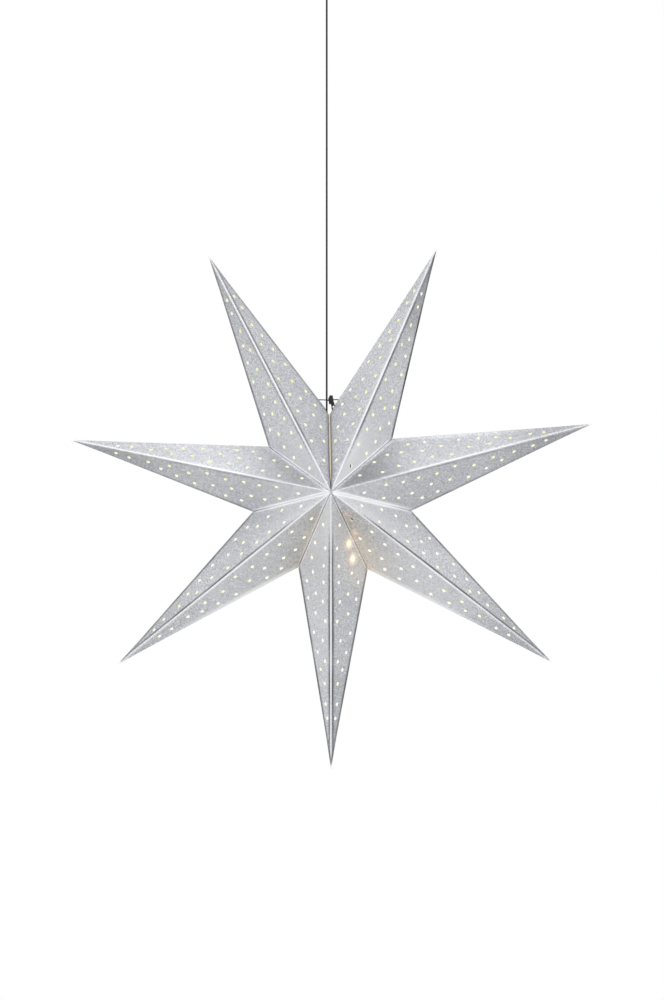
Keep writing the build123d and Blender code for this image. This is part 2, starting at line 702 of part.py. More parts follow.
with BuildPart() as holder_nut:
    with BuildSketch(Plane.XY.offset(nipple_z - 2)):
        with Locations((LAMP_X, 0)):
            RegularPolygon(NIPPLE_RADIUS - 0.9, 6)
            Circle(NIPPLE_NECK_RADIUS + THREAD_FIT, mode=Mode.SUBTRACT)
    extrude(amount=-3)
save(holder_nut.part, "holder_nut")
with BuildPart() as holder_grip_screw:
    with BuildSketch(upright_plane(LAMP_X + CORD_THICKNESS / 2, grip_z)):
        Circle(M3_RADIUS)
    extrude(amount=NIPPLE_RADIUS + 0.6 - CORD_THICKNESS / 2)
    with BuildSketch(upright_plane(LAMP_X + NIPPLE_RADIUS + 0.6, grip_z)):
        Rectangle(2 * M3_RADIUS, FINE_SLOT_WIDTH)
    extrude(amount=-0.9, mode=Mode.SUBTRACT)
save(holder_grip_screw.part, "holder_grip_screw")
left_core = round_tube(
    [
        (LAMP_X, -core_y, lamp_jacket_end),
        (LAMP_X, -core_y, lamp_jacket_end - 3.5),
        (LAMP_X - terminal_x, 0, lamp_jacket_end - 10.5),
        (LAMP_X - terminal_x, 0, insert_top - 5),
    ],
    CORE_RADIUS,
    3.0,
)
right_core = round_tube(
    [
        (LAMP_X, core_y, lamp_jacket_end),
        (LAMP_X, core_y, lamp_jacket_end - 3.5),
        (LAMP_X + terminal_x, 0, lamp_jacket_end - 10.5),
        (LAMP_X + terminal_x, 0, insert_top - 5),
    ],
    CORE_RADIUS,
    3.0,
)
with BuildPart() as holder_cores:
    add(left_core)
    add(right_core)
save(holder_cores.part, "holder_cores")

# Bulb: end contact, insulator, screw cap, glass, stem, filaments and their supports
contact_top = insert_bottom - dip - strip - FIT
insulator_top = contact_top - 1.0
cap_top = insulator_top - 2.0
threads = 4
thread_end = cap_top - threads * THREAD_PITCH
cap_bottom = shell_bottom - 3.5
with BuildPart() as bulb_contact:
    add(turned(LAMP_X, [(0, contact_top), (1.6, contact_top), (2.3, insulator_top), (0, insulator_top)]))
save(bulb_contact.part, "bulb_contact")
with BuildPart() as bulb_insulator:
    add(
        turned(
            LAMP_X,
            [
                (0, insulator_top),
                (2.9, insulator_top),
                (BULB_CAP_RADIUS - 0.8, cap_top),
                (0, cap_top),
            ],
        )
    )
save(bulb_insulator.part, "bulb_insulator")
cap_inner = BULB_CAP_RADIUS - 1.0
cap_profile = [(cap_inner, cap_top)]
for turn in range(threads):
    cap_profile.append((BULB_CAP_RADIUS - THREAD_HEIGHT, cap_top - turn * THREAD_PITCH))
    cap_profile.append((BULB_CAP_RADIUS + THREAD_HEIGHT, cap_top - (turn + 0.5) * THREAD_PITCH))
cap_profile.append((BULB_CAP_RADIUS - THREAD_HEIGHT, thread_end))
cap_profile.append((BULB_CAP_RADIUS, shell_bottom - 0.5))
cap_profile.append((BULB_CAP_RADIUS + 1.6, cap_bottom + 0.8))
cap_profile.append((BULB_CAP_RADIUS + 1.6, cap_bottom))
cap_profile.append((cap_inner, cap_bottom))
with BuildPart() as bulb_cap:
    add(turned(LAMP_X, cap_profile))
save(bulb_cap.part, "bulb_cap")


def pear(shrink):
    """The bulb's outer or inner form: a ball and the cone that touches it, up to the neck."""
    ball = GLASS_RADIUS - shrink
    neck = BULB_CAP_RADIUS + 1.1 - shrink
    middle = GLASS_LENGTH - GLASS_RADIUS
    far = math.hypot(neck, middle)
    lean = math.asin(ball / far) - math.atan2(neck, middle)
    reach = math.sqrt(far**2 - ball**2)
    low = (neck + reach * math.sin(lean), cap_bottom - reach * math.cos(lean))
    with BuildPart() as form:
        add(turned(LAMP_X, [(0, cap_bottom), (neck, cap_bottom), low, (0, low[1])]))
        with Locations((LAMP_X, 0, cap_bottom - middle)):
            Sphere(ball)
    return form.part


glass_outside = pear(0)
glass_inside = pear(GLASS_WALL)
with BuildPart() as bulb_glass:
    add(glass_outside)
    add(glass_inside, mode=Mode.SUBTRACT)
save(bulb_glass.part, "bulb_glass")
stem_end = cap_bottom - 13.0
with BuildPart() as bulb_stem:
    add(
        turned(
            LAMP_X,
            [
                (0, cap_bottom),
                (BULB_CAP_RADIUS - 0.2, cap_bottom),
                (BULB_CAP_RADIUS - 0.6, cap_bottom - 1.5),
                (2.2, cap_bottom - 6),
                (1.6, stem_end),
                (0, stem_end),
            ],
        )
    )
save(bulb_stem.part, "bulb_stem")
spoke = 0.6
filament_top = stem_end - 2.0
filament_bottom = filament_top - FILAMENT_LENGTH
with BuildPart() as filaments:
    with BuildSketch(Plane.XY.offset(filament_top)):
        with Locations((LAMP_X, 0)):
            with PolarLocations(FILAMENT_RING, FILAMENTS, start_angle=45):
                Circle(FILAMENT_RADIUS)
    extrude(amount=-FILAMENT_LENGTH)
save(filaments.part, "filaments")
with BuildPart() as filament_supports:
    with BuildSketch(Plane.XY.offset(stem_end)):
        with Locations((LAMP_X, 0)):
            Circle(spoke)
    extrude(amount=filament_bottom - spoke - stem_end)
    for level in (filament_top, filament_bottom - spoke):
        with BuildSketch(Plane.XY.offset(level)):
            with Locations((LAMP_X, 0)):
                with PolarLocations(FILAMENT_RING / 2, FILAMENTS, start_angle=45):
                    Rectangle(FILAMENT_RING + spoke, spoke)
        extrude(amount=spoke)
save(filament_supports.part, "filament_supports")
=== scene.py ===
import json
import math

import bmesh
import bpy
import numpy as np
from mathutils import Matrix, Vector, noise
from mathutils.geometry import delaunay_2d_cdt


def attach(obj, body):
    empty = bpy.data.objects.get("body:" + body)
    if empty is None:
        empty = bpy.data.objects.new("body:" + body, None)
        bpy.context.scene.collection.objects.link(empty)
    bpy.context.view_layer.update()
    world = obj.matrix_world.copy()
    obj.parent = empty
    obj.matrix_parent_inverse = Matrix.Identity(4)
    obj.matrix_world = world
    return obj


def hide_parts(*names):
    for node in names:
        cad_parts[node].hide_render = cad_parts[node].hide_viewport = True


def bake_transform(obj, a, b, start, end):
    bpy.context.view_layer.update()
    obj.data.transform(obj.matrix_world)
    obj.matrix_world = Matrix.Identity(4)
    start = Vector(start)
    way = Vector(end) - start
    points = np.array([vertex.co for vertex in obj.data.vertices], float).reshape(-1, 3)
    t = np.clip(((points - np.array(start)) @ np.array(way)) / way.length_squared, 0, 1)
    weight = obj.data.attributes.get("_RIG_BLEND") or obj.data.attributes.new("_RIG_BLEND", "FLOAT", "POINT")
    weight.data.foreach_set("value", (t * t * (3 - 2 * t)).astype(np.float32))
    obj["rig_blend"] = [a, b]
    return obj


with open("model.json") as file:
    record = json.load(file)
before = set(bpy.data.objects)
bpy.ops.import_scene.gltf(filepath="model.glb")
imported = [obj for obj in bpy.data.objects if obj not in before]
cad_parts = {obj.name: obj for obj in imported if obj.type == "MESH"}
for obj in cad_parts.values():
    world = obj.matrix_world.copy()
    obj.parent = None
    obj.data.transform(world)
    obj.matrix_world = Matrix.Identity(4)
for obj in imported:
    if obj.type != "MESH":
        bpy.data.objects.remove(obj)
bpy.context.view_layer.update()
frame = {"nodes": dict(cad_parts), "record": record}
scene = bpy.context.scene
MM = 0.001

# Sizes of the CAD source that the pieces below are made to, in millimetres
HUB = Vector((6.0, 0.0, -775.0))
POINTS = 7
SEAM = 3
SECTOR = 180.0 / POINTS
TIP_RADIUS = 375.0
NOTCH_RADIUS = 114.0
HUB_HEIGHT = 96.0
TIP_TURN = [0.0, 1.4, 2.4, 2.5, 1.4, 0.9, -0.1]
TIP_EXTRA = [7.5, 12.5, 5.5, 3.5, 4.5, 0.5, 6.0]
NOTCH_TURN = [0.6, 1.7, 4.0, 1.2, 0.7, -0.8, 1.4]
NOTCH_EXTRA = [3.0, 2.0, 4.0, 1.7, -2.3, -1.0, -2.0]
SLIT = 1.6
SLIT_START = 24.0
LAMP_X = 33.0
RIDGE_ROW = [
    (5.5, 22.5), (15.5, 16.5), (20.5, 21.5), (26.5, 21.0), (33.0, 22.5), (42.0, 15.5),
    (46.5, 24.5), (56.0, 17.5), (64.0, 18.0), (72.0, 16.0), (78.5, 11.0),
]
MIDDLE_ROW = [
    (5.0, 48.0), (7.5, 58.5), (13.5, 55.5), (24.0, 45.0),
    (31.0, 45.5), (36.5, 51.0), (46.5, 40.5), (55.5, 30.5),
]
OUTER_ROW = [(12.0, 73.0), (19.5, 68.0)]
CORD_WIDTH = 5.2
CORD_THICKNESS = 2.6

# Camera: straight in front of the star and a little below it
PIXEL = 1.40 * MM
PHOTO_HEIGHT = 1000
AIM_SHIFT = (1.0, -5.0)  # pixels to the right of the hub and above it
AIM = Vector((HUB.x * MM + AIM_SHIFT[0] * PIXEL, 0, HUB.z * MM + AIM_SHIFT[1] * PIXEL))
SENSOR = 36.0
DISTANCE = 4.0
BELOW = math.radians(2.5)
camera = bpy.data.objects.new("camera", bpy.data.cameras.new("camera"))
scene.collection.objects.link(camera)
camera.location = AIM + Vector((0, -math.cos(BELOW), -math.sin(BELOW))) * DISTANCE
camera.rotation_mode = "QUATERNION"
camera.rotation_quaternion = (AIM - camera.location).to_track_quat("-Z", "Y")
camera.data.lens = SENSOR * DISTANCE / (PHOTO_HEIGHT * PIXEL)
camera.data.clip_end = 50
scene.camera = camera


# Corners of the star's folded sheets
def around_hub(angle, radius):
    turn = math.radians(angle)
    return HUB + Vector((radius * math.cos(turn), 0, radius * math.sin(turn)))


def tip_place(k):
    return around_hub(-90 + k * 2 * SECTOR + TIP_TURN[k], TIP_RADIUS + TIP_EXTRA[k])


def notch_place(k):
    return around_hub(-90 + (k + 0.5) * 2 * SECTOR + NOTCH_TURN[k], NOTCH_RADIUS + NOTCH_EXTRA[k])


def panel_normal(top, tip, notch):
    """Outward normal of the panel through a hub, a tip and a notch."""
    n = (tip - top).cross(notch - top).normalized()
    return n if n.dot(HUB - top) < 0 else -n


def hub_top(depth):
    return HUB + Vector((0, depth * HUB_HEIGHT, 0))


def line_points(a, b, step):
    count = max(2, int(round((b - a).length / step)))
    return [a + (b - a) * (i / count) for i in range(count + 1)]


def from_line(p, a, b):
    """Distance of a flat point from the line through a and b."""
    d = b - a
    return abs(d.x * (p.y - a.y) - d.y * (p.x - a.x)) / d.length


# Materials
GRAIN_DEPTH = 0.0002
LEAST_ROUGH = 0.02
ROUGH_LESS, ROUGH_MORE = 0.08, 0.1  # unevenness of a plain finish's gloss


def material(name, color, roughness=0.5, metallic=0.0, **sockets):
    """A new material, with its node tree and its Principled shader."""
    m = bpy.data.materials.new(name)
    m.use_nodes = True
    shader = m.node_tree.nodes["Principled BSDF"]
    shader.inputs["Base Color"].default_value = (*color, 1)
    shader.inputs["Roughness"].default_value = roughness
    shader.inputs["Metallic"].default_value = metallic
    for key, value in sockets.items():
        shader.inputs[key.replace("_", " ")].default_value = value
    return m, m.node_tree, shader


def node(tree, kind, **values):
    """A new node. Each value goes to the input or the setting of that name."""
    made = tree.nodes.new(kind)
    for key, value in values.items():
        if key in made.inputs:
            made.inputs[key].default_value = value
        else:
            setattr(made, key, value)
    return made


def ramp(tree, source, stops):
    """A colour ramp from (place, colour) stops."""
    made = tree.nodes.new("ShaderNodeValToRGB")
    elements = made.color_ramp.elements
    while len(elements) < len(stops):
        elements.new(0.5)
    for element, (place, color) in zip(elements, stops):
        element.position = place
        element.color = (*color, 1) if len(color) == 3 else color
    tree.links.new(source, made.inputs["Fac"])
    return made.outputs["Color"]


def bump(tree, shader, height, strength, distance):
    made = node(tree, "ShaderNodeBump", Strength=strength, Distance=distance)
    tree.links.new(height, made.inputs["Height"])
    tree.links.new(made.outputs["Normal"], shader.inputs["Normal"])


def on_object(tree, kind, **values):
    """Outputs of a texture that is laid over the object's own places."""
    made = node(tree, kind, **values)
    place = tree.nodes.new("ShaderNodeTexCoord")
    tree.links.new(place.outputs["Object"], made.inputs["Vector"])
    return made.outputs


def spread(tree, value, low, high):
    """A value from 0 to 1, spread from low to high."""
    made = tree.nodes.new("ShaderNodeMapRange")
    made.inputs["To Min"].default_value = low
    made.inputs["To Max"].default_value = high
    tree.links.new(value, made.inputs["Value"])
    return made.outputs["Result"]


def combine(tree, operation, a, b, clamp=False):
    """Two values worked into one. Each is a socket or a number."""
    made = node(tree, "ShaderNodeMath", operation=operation, use_clamp=clamp)
    for value, socket in zip((a, b), made.inputs):
        if isinstance(value, bpy.types.NodeSocket):
            tree.links.new(value, socket)
        else:
            socket.default_value = value
    return made.outputs["Value"]


def plain_with_grain(name, color, roughness, metallic=0.0, scale=900, strength=0.15, **sockets):
    """A plain finish with a fine grain and a little unevenness in its gloss."""
    m, tree, shader = material(name, color, roughness, metallic, **sockets)
    grain = on_object(tree, "ShaderNodeTexNoise", Scale=scale, Detail=3.0, Roughness=0.6)
    bump(tree, shader, grain["Fac"], strength, GRAIN_DEPTH)
    cloud = on_object(tree, "ShaderNodeTexNoise", Scale=40.0, Detail=4.0, Roughness=0.55)
    least = max(LEAST_ROUGH, roughness - ROUGH_LESS)
    most = min(1.0, roughness + ROUGH_MORE)
    tree.links.new(spread(tree, cloud["Fac"], least, most), shader.inputs["Roughness"])
    return m


BULB_DROP = 80.0  # the bulb's middle lies this far below the hub
BULB = Vector((LAMP_X, 0, HUB.z - BULB_DROP)) * MM


def from_place(tree, middle, near, far):
    """A value that goes from 0 to 1 with the distance from a place."""
    place = tree.nodes.new("ShaderNodeTexCoord")
    away = node(tree, "ShaderNodeVectorMath", operation="DISTANCE")
    away.inputs[1].default_value = middle
    tree.links.new(place.outputs["Object"], away.inputs[0])
    share = node(tree, "ShaderNodeMapRange", interpolation_type="SMOOTHSTEP")
    share.inputs["From Min"].default_value = near
    share.inputs["From Max"].default_value = far
    tree.links.new(away.outputs["Value"], share.inputs["Value"])
    return share.outputs["Result"]


def blend_color(tree, factor, a, b, kind="MIX"):
    """Two colours mixed. Each is a socket or a plain colour, and the factor a socket or a number."""
    mix = node(tree, "ShaderNodeMix", data_type="RGBA", blend_type=kind)
    for value, socket in ((factor, mix.inputs[0]), (a, mix.inputs[6]), (b, mix.inputs[7])):
        if isinstance(value, bpy.types.NodeSocket):
            tree.links.new(value, socket)
        elif isinstance(value, tuple):
            socket.default_value = (*value, 1)
        else:
            socket.default_value = value
    return mix.outputs[2]


# Where the bulb shines through the paper: around the two holes before it, and beside the valleys.
# Each row has the point, the side, the place in % of the way to the tip and to the notch, the size
# and the colour.
GLOWS = [
    (0, 0, 5.0, 48.0, 0.014, (0.85, 0.58, 0.26)),
    (0, 0, 7.5, 58.5, 0.014, (0.85, 0.58, 0.26)),
    (1, -1, 3.7, 43.4, 0.009, (0.27, 0.12, 0.03)),
    (1, -1, 3.3, 21.0, 0.007, (0.26, 0.1, 0.02)),
    (6, 0, 4.5, 43.8, 0.008, (0.16, 0.06, 0.02)),
]
GLOW_CORE = 0.001
GLOW_HALF = (0.45, 0.22)  # where a glow has fallen, and to which share
BLACK = (0.0, 0.0, 0.0)
WHITE = (1.0, 1.0, 1.0)
FLAKE_TONES = [(0.0, (0.34, 0.35, 0.375)), (0.5, (0.575, 0.59, 0.615)), (1.0, (0.91, 0.925, 0.95))]
CLOUD_TONES = [(0.3, (0.94, 0.94, 0.95)), (0.7, WHITE)]
# Colours of the painted highlight and the painted shade along the creases, the outlines and over each panel
PAINTED_HIGHLIGHT = (0.93, 0.935, 0.95)
PAINTED_SHADE = (0.03, 0.03, 0.035)
CREASE_SHINE = [(0.0, BLACK), (1.0, (0.14, 0.14, 0.145))]
# Colour of the painted warm light from the bulb on the paper
BULB_LIGHT_TINT = (0.88, 0.82, 0.72)
FLAKE_GLOSS = (0.32, 0.6)  # roughness from the smoothest to the roughest flake
FLAKE_BUMP = (0.4, 0.0003)
BULB_GLOW = [(0.0, (0.1, 0.075, 0.045)), (0.4, (0.045, 0.034, 0.02)), (1.0, BLACK)]
BULB_GLOW_REACH = (0.028, 0.085)
INSIDE_GLOW = [
    (0.0, (1.0, 0.99, 0.92)), (0.3, (0.94, 0.96, 0.64)),
    (0.6, (0.87, 0.88, 0.44)), (1.0, (0.85, 0.76, 0.4)),
]
INSIDE_GLOW_REACH = (0.03, 0.42)
INSIDE_PATCHES = [(0.28, (1.0, 0.8, 0.6)), (0.42, WHITE)]


def paper_color(tree, flake, crease):
    """Colour of the paper's flakes, with painted highlight and painted shade along the creases and painted
    warm light from the bulb near it.
    """
    cloud = on_object(tree, "ShaderNodeTexNoise", Scale=22.0, Detail=4.0, Roughness=0.6)
    soft = ramp(tree, cloud["Fac"], CLOUD_TONES)
    tone = blend_color(tree, 1.0, ramp(tree, flake, FLAKE_TONES), soft, "MULTIPLY")
    pale = combine(tree, "MAXIMUM", crease, 0.0, clamp=True)
    dark = combine(tree, "MULTIPLY", crease, -1.0, clamp=True)
    tone = blend_color(tree, pale, tone, PAINTED_HIGHLIGHT)
    tone = blend_color(tree, dark, tone, PAINTED_SHADE)
    # Painted warm light from the bulb
    warm = node(tree, "ShaderNodeAttribute", attribute_name="warm")
    tinted = blend_color(tree, 1.0, tone, BULB_LIGHT_TINT, "MULTIPLY")
    return blend_color(tree, warm.outputs["Fac"], tone, tinted)


def paper_glow(tree, crease):
    """Light that the paper gives off: the bulb's light through it, and the shine of the palest creases."""
    glow = ramp(tree, from_place(tree, BULB, *BULB_GLOW_REACH), BULB_GLOW)
    top = hub_top(-1)
    for k, side, to_tip, to_notch, size, color in GLOWS:
        spot = top.lerp(tip_place(k), to_tip / 100) + (notch_place(k + side) - top) * (to_notch / 100)
        half = (GLOW_HALF[0], tuple(c * GLOW_HALF[1] for c in color))
        away = from_place(tree, spot * MM, GLOW_CORE, size)
        halo = ramp(tree, away, [(0.0, color), half, (1.0, BLACK)])
        glow = blend_color(tree, 1.0, glow, halo, "ADD")
    over = combine(tree, "SUBTRACT", crease, 1.0, clamp=True)
    return blend_color(tree, 1.0, glow, ramp(tree, over, CREASE_SHINE), "ADD")


def silver_paper():
    """Silver glitter paper: small flakes, each with its own tone, gloss and tilt."""
    m, tree, shader = material("silver_paper", (0.6, 0.61, 0.63), 0.42, 0.3, Emission_Strength=1.0)
    link = tree.links.new
    flakes = on_object(tree, "ShaderNodeTexVoronoi", Scale=1150.0)
    flake = tree.nodes.new("ShaderNodeSeparateColor")
    link(flakes["Color"], flake.inputs["Color"])
    # Painted highlight and painted shade along the creases and over each panel, from the mesh's tone layer
    crease = node(tree, "ShaderNodeAttribute", attribute_name="tone")
    link(paper_color(tree, flake.outputs["Red"], crease.outputs["Fac"]), shader.inputs["Base Color"])
    link(spread(tree, flake.outputs["Green"], *FLAKE_GLOSS), shader.inputs["Roughness"])
    grain = on_object(tree, "ShaderNodeTexNoise", Scale=1500.0, Detail=2.0)
    bump(tree, shader, combine(tree, "ADD", flake.outputs["Blue"], grain["Fac"]), *FLAKE_BUMP)
    link(paper_glow(tree, crease.outputs["Fac"]), shader.inputs["Emission Color"])
    return m


def lit_inside():
    """The white inside of the paper, lit by the bulb: white nearby, dimmer and warmer further away."""
    look = {"Specular_IOR_Level": 0.1, "Emission_Strength": 0.95}
    m, tree, shader = material("lit_inside", (0.12, 0.11, 0.08), 0.9, **look)
    glow = ramp(tree, from_place(tree, BULB, *INSIDE_GLOW_REACH), INSIDE_GLOW)
    cloud = on_object(tree, "ShaderNodeTexNoise", Scale=45.0, Detail=2.0)
    patch = ramp(tree, cloud["Fac"], INSIDE_PATCHES)
    tree.links.new(blend_color(tree, 1.0, glow, patch, "MULTIPLY"), shader.inputs["Emission Color"])
    return m


SILVER = silver_paper()
INSIDE = lit_inside()
# The paper's cut edges glow with painted light from the bulb
PAPER_EDGE = plain_with_grain(
    "paper_edge", (0.7, 0.68, 0.62), 0.8, Emission_Color=(1.0, 0.97, 0.6, 1), Emission_Strength=0.8
)
# The open seam's flaps glow with painted light from the bulb
SEAM_FLAP = plain_with_grain(
    "seam_flap", (0.6, 0.55, 0.45), 0.8, Emission_Color=(1.0, 0.9, 0.7, 1), Emission_Strength=0.22
)
CORD_BLACK = plain_with_grain("cord_black", (0.008, 0.008, 0.009), 0.55, scale=600, Specular_IOR_Level=0.25)
# The holder is black, with a painted orange glow from the bulb
HOLDER_BLACK = plain_with_grain(
    "holder_black", (0.02, 0.017, 0.014), 0.4, Emission_Color=(1.0, 0.45, 0.08, 1), Emission_Strength=0.25
)
PLASTIC_BLACK = plain_with_grain("plastic_black", (0.015, 0.015, 0.016), 0.38, scale=1400)
STRING = plain_with_grain("tie_string", (0.02, 0.017, 0.015), 0.8, scale=2500, strength=0.5)
PLASTIC_WHITE = plain_with_grain("plastic_white", (0.8, 0.79, 0.74), 0.4, scale=1200)
CORE = plain_with_grain("core_brown", (0.16, 0.07, 0.03), 0.4)
STEEL = plain_with_grain("zinc_steel", (0.58, 0.58, 0.57), 0.32, 1.0, scale=300)
BRASS = plain_with_grain("brass", (0.78, 0.57, 0.25), 0.28, 1.0, scale=300)
NICKEL = plain_with_grain("nickel", (0.72, 0.69, 0.64), 0.22, 1.0, scale=300)
CERAMIC = plain_with_grain("ceramic", (0.82, 0.8, 0.73), 0.35)
DARK_GLASS = plain_with_grain("dark_glass", (0.02, 0.02, 0.025), 0.12)
OPAL, *_ = material(
    "opal_glass", (1.0, 0.95, 0.85), 0.3, Emission_Color=(1.0, 0.86, 0.62, 1), Emission_Strength=2.5
)
CLEAR, *_ = material("clear_glass", WHITE, 0.03, Transmission_Weight=1.0, IOR=1.45)
GLOW, *_ = material(
    "filament", (1.0, 0.8, 0.5), 0.5, Emission_Color=(1.0, 0.75, 0.4, 1), Emission_Strength=12.0
)


def made_object(name, data, materials, body, nodes):
    """Adds a piece that stands for CAD nodes. It rides on a body, or on none where a blend moves it."""
    o = bpy.data.objects.new(name, data)
    scene.collection.objects.link(o)
    for m in materials:
        data.materials.append(m)
    if body:
        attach(o, body)
    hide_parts(*nodes)
    return o


def finished_mesh(name, bm, angle):
    """A mesh that is smooth where its faces meet at less than an angle in degrees."""
    mesh = bpy.data.meshes.new(name)
    bm.to_mesh(mesh)
    bm.free()
    for polygon in mesh.polygons:
        polygon.use_smooth = True
    mesh.set_sharp_from_angle(angle=math.radians(angle))
    return mesh


def skin(bm, rows):
    """Joins rows of points to a tube with two flat ends."""
    count = len(rows[0])
    for a, b in zip(rows, rows[1:]):
        for k in range(count):
            bm.faces.new((a[k], a[(k + 1) % count], b[(k + 1) % count], b[k]))
    bm.faces.new(rows[0][::-1])
    bm.faces.new(rows[-1])


# Cord: flat twin flex. The hanging length turns with the star at its lower end.
# The stub stays in the ceiling rose.
CORD_SIDES = 28
CORD_SMOOTH = 50  # degrees
GROOVE_DEPTH, GROOVE_WIDTH = 0.22, 0.55
PIVOT = -63.0  # where the cord bends, in the mouth of the ceiling grip
STUB_END = -61.5
JACKET_END = -16.0  # the stub's upper end
CUT = -625.0  # where the star turns
CORD_DOME = [(1.35, 0.2), (1.1, 0.55), (0.6, 0.85)]  # the hanging cord's rounded upper end
CORD_ROUTE = [
    (0, 0, PIVOT), (0, 0, -300), (0, 0, CUT), (0, 0, -660), (0, 0, -671),
    (11, 0, -682.3), (22, 0, -693.7), (33, 0, -705), (33, 0, -728), (33, 0, -764),
]


def spline_points(name, route):
    """Points along a smooth curve through the corners of a route, in metres."""
    curve = bpy.data.curves.new(name, "CURVE")
    curve.dimensions = "3D"
    spline = curve.splines.new("NURBS")
    spline.points.add(len(route) - 1)
    for point, place in zip(spline.points, route):
        point.co = (*[c * MM for c in place], 1)
    spline.order_u = 3
    spline.use_endpoint_u = True
    spline.resolution_u = 12
    holder = bpy.data.objects.new(name, curve)
    mesh = bpy.data.meshes.new_from_object(holder)
    line = np.array([v.co for v in mesh.vertices])
    bpy.data.meshes.remove(mesh)
    bpy.data.objects.remove(holder)
    bpy.data.curves.remove(curve)
    return line


def cord_section():
    """Section of the flat cord: two cores in one jacket, with a groove on each flat side."""
    ring = []
    for k in range(CORD_SIDES):
        a = 2 * math.pi * k / CORD_SIDES
        y = CORD_WIDTH / 2 * math.cos(a)
        off = abs(y) - CORD_WIDTH / 4
        x = CORD_THICKNESS / 2
        if off > 0:
            x = math.sqrt(max(0.0, (CORD_THICKNESS / 2) ** 2 - off * off))
        x *= 1.0 - GROOVE_DEPTH * math.exp(-((y / GROOVE_WIDTH) ** 2))
        ring.append((math.copysign(x, math.sin(a)), y))
    return ring


def flat_cord(name, line, dome=()):
    """A flat twin cord along a line in the XZ plane.

    A dome gives the rows above a hanging cord's first point, as heights and shares of the width.
    """
    ring = cord_section()
    bm = bmesh.new()
    rows = []
    for height, share in dome:
        cap = [Vector((-x * share, y * share, height)) * MM for x, y in ring]
        rows.append([bm.verts.new(Vector(line[0]) + v) for v in cap])
    for i, p in enumerate(line):
        along = Vector(line[min(i + 1, len(line) - 1)] - line[max(i - 1, 0)]).normalized()
        side = Vector((0, 1, 0)).cross(along).normalized()
        places = [Vector(p) + side * (x * MM) + Vector((0, y * MM, 0)) for x, y in ring]
        rows.append([bm.verts.new(place) for place in places])
    skin(bm, rows)
    bmesh.ops.recalc_face_normals(bm, faces=bm.faces)
    return finished_mesh(name, bm, CORD_SMOOTH)


def dense(line, step=4.0 * MM):
    """The line again with evenly spaced points."""
    along = np.concatenate([[0], np.cumsum(np.linalg.norm(np.diff(line, axis=0), axis=1))])
    at = np.linspace(0, along[-1], max(2, int(along[-1] / step)))
    return np.stack([np.interp(at, along, line[:, k]) for k in range(3)], axis=1)


cord_line = dense(spline_points("cord_route", CORD_ROUTE))
cord_mesh = flat_cord("cord", cord_line, CORD_DOME)
cord = made_object("cord", cord_mesh, [CORD_BLACK], None, ["cord_bend", "cord", "cord_tail"])
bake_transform(cord, "cord", "star", (0, 0, -0.08), (0, 0, CUT * MM))
stub_line = dense(np.array([(0, 0, JACKET_END * MM), (0, 0, STUB_END * MM)]))
stub_mesh = flat_cord("cord_stub_piece", stub_line)
made_object("cord_stub_piece", stub_mesh, [CORD_BLACK], "ceiling", ["cord_stub"])


# Star points: folded panels with punched holes and pinched creases
# Mesh points beside a crease: their distances from it and along it, and the room that they need
CREASE_ROWS = (0.45, 0.9, 1.4, 2.0, 2.7, 3.5, 4.6, 6.2, 8.5, 12.0)
CREASE_STEP = 5.0
CREASE_ROOM = (1.02, 0.2)  # to the other sides: a share of the point's own distance, and a little more
CREASE_CLEAR = 0.8  # to a hole's edge
HOLE_RADIUS = 2.5
HOLE_SIDES = 16
HOLE_KEEP = 0.97  # a triangle whose middle lies within this share of a hole's radius is left out
GRID_START = 4.0  # mesh points between the creases
GRID_SHIFT = 4.0
GRID_STEP = (8.0, 7.0)
GRID_EDGE = 15.0
GRID_CLEAR = 2.0
SAME_POINT = 1e-6


def clear(p, holes, room):
    """Whether a flat point lies clear of every hole."""
    return all((p - h).length > HOLE_RADIUS + room for h in holes)


def crease_points(sides, holes):
    """Flat points in rows along the three sides of a panel."""
    points = []
    for side in sides:
        a, b = side
        inward = Vector((-(b - a).y, (b - a).x)).normalized()
        others = [s for s in sides if s is not side]
        for q in line_points(a, b, CREASE_STEP)[1:-1]:
            for d in CREASE_ROWS:
                p = q + inward * d
                room = min(from_line(p, *s) for s in others)
                if room > d * CREASE_ROOM[0] + CREASE_ROOM[1] and clear(p, holes, CREASE_CLEAR):
                    points.append(p)
    return points


def grid_points(ridge, notch, sides, holes):
    """Flat points between the creases, in staggered rows."""
    points = []
    row, y = 0, GRID_START
    while y < notch.y:
        x = GRID_START + (row % 2) * GRID_SHIFT
        while x < ridge:
            p = Vector((x, y))
            inside = y < notch.y * (ridge - x) / (ridge - notch.x) and y < notch.y / notch.x * x
            if inside and min(from_line(p, *s) for s in sides) > GRID_EDGE and clear(p, holes, GRID_CLEAR):
                points.append(p)
            x += GRID_STEP[0]
        y += GRID_STEP[1]
        row += 1
    return points


def flat_panel(ridge, notch):
    """Triangles of a flat panel with its holes. The hub is at (0, 0), the tip at (ridge, 0)."""
    hub, tip = Vector((0, 0)), Vector((ridge, 0))
    sides = [(hub, tip), (tip, notch), (notch, hub)]
    holes = [tip * (t / 100) + notch * (n / 100) for t, n in RIDGE_ROW + MIDDLE_ROW + OUTER_ROW]
    points = []
    for a, b in sides:
        points += line_points(a, b, CREASE_STEP)[:-1]
    rings = [(0, len(points))]
    for h in holes:
        rings.append((len(points), HOLE_SIDES))
        for i in range(HOLE_SIDES):
            a = 2 * math.pi * i / HOLE_SIDES
            points.append(h + Vector((math.cos(a), math.sin(a))) * HOLE_RADIUS)
    edges = [(first + i, first + (i + 1) % count) for first, count in rings for i in range(count)]
    points += crease_points(sides, holes) + grid_points(ridge, notch, sides, holes)
    verts, _, faces, *_ = delaunay_2d_cdt(points, edges, [], 1, SAME_POINT)
    kept = []
    for f in faces:
        middle = sum((verts[i] for i in f), Vector((0, 0))) / len(f)
        if all((middle - h).length > HOLE_RADIUS * HOLE_KEEP for h in holes):
            kept.append(tuple(f))
    return verts, kept


